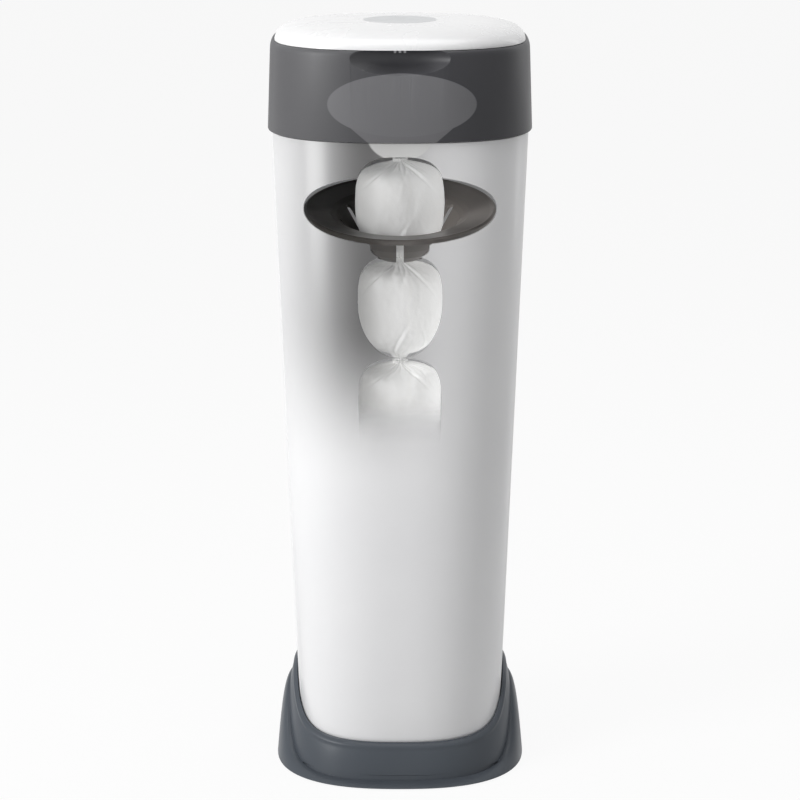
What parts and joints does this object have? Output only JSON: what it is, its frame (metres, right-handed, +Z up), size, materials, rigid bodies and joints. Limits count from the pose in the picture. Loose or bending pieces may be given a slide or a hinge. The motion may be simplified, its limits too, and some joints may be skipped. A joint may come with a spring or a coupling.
{
  "type": "nappy bin",
  "caption": "Tall tapered nappy bin with a hinged lid, a twist ring over a film cassette, a sprung grip ring and a tilt-open front door.",
  "frame": {"origin": "centre of the bounding box's footprint, on the floor under the foot pads", "axes": "+Z up, -Y towards the front door, +X to the right seen from the front"},
  "size_m": [0.2252, 0.2058, 0.657],
  "materials": {
    "white_plastic": "smooth white moulding, satin gloss",
    "dark_plastic": "dark grey fine-grained moulding",
    "base_plastic": "dark blue-grey satin moulding",
    "grip_plastic": "near-black sprung plastic",
    "inner_plastic": "light grey inner moulding",
    "twist_plastic": "mid grey moulding",
    "cassette_plastic": "white cassette moulding",
    "cap_plastic": "blue cassette cap",
    "inlay_plastic": "light grey inlay",
    "seal_rubber": "soft grey seal",
    "foot_rubber": "black rubber",
    "steel": "bright steel",
    "film": "thin translucent film",
    "wrapped": "nappies wrapped in thin white film"
  },
  "bodies": {
    "bin": {"base": "base_plastic", "foot_pads": "foot_rubber", "base_screws": "steel", "door_hinge_pins": "steel", "rear_shell": "white_plastic", "grip_ring": "grip_plastic", "grip_bracket": "grip_plastic", "bracket_screws": "steel", "head_collar": "dark_plastic", "head_deck": "inner_plastic", "deck_screws": "steel", "lid_hinge_pin": "steel", "nappy_bag_top": "wrapped", "nappy_bag_middle": "wrapped", "nappy_bag_bottom": "wrapped", "cutter_housing": "dark_plastic", "cutter_blade": "steel", "latch_housing": "dark_plastic", "latch_spring": "steel"},
    "lid": {"lid_shell": "white_plastic", "lid_inlay": "inlay_plastic", "lid_liner": "inner_plastic", "liner_screws": "steel", "lid_seal": "seal_rubber", "lid_lip_ribs": "white_plastic"},
    "film_drive": {"twist_ring": "twist_plastic", "cassette_body": "cassette_plastic", "cassette_cap": "cap_plastic", "film_pack": "film", "film_funnel": "film"},
    "door": {"door_panel": "white_plastic", "door_keeper": "dark_plastic"},
    "latch": {"latch_button": "white_plastic"}
  },
  "joints": [
    {"name": "lid_hinge", "type": "hinge", "parent": "bin", "child": "lid", "pos_m": [0, 0.08598, 0.645], "axis": [-1, 0, 0], "range_deg": [0, 95]},
    {"name": "twist", "type": "hinge", "parent": "bin", "child": "film_drive", "pos_m": [0, 0, 0.6], "axis": [0, 0, 1], "continuous": true},
    {"name": "door_tilt", "type": "hinge", "parent": "bin", "child": "door", "pos_m": [0, -0.05396, 0.05], "axis": [1, 0, 0], "range_deg": [0, 50]},
    {"name": "latch_press", "type": "slide", "parent": "bin", "child": "latch", "axis": [-1, 0, 0], "range_m": [0, 0.004], "stiffness_N_per_m": 800, "springref_m": -0.002, "deforming": ["latch_spring"]}
  ]
}
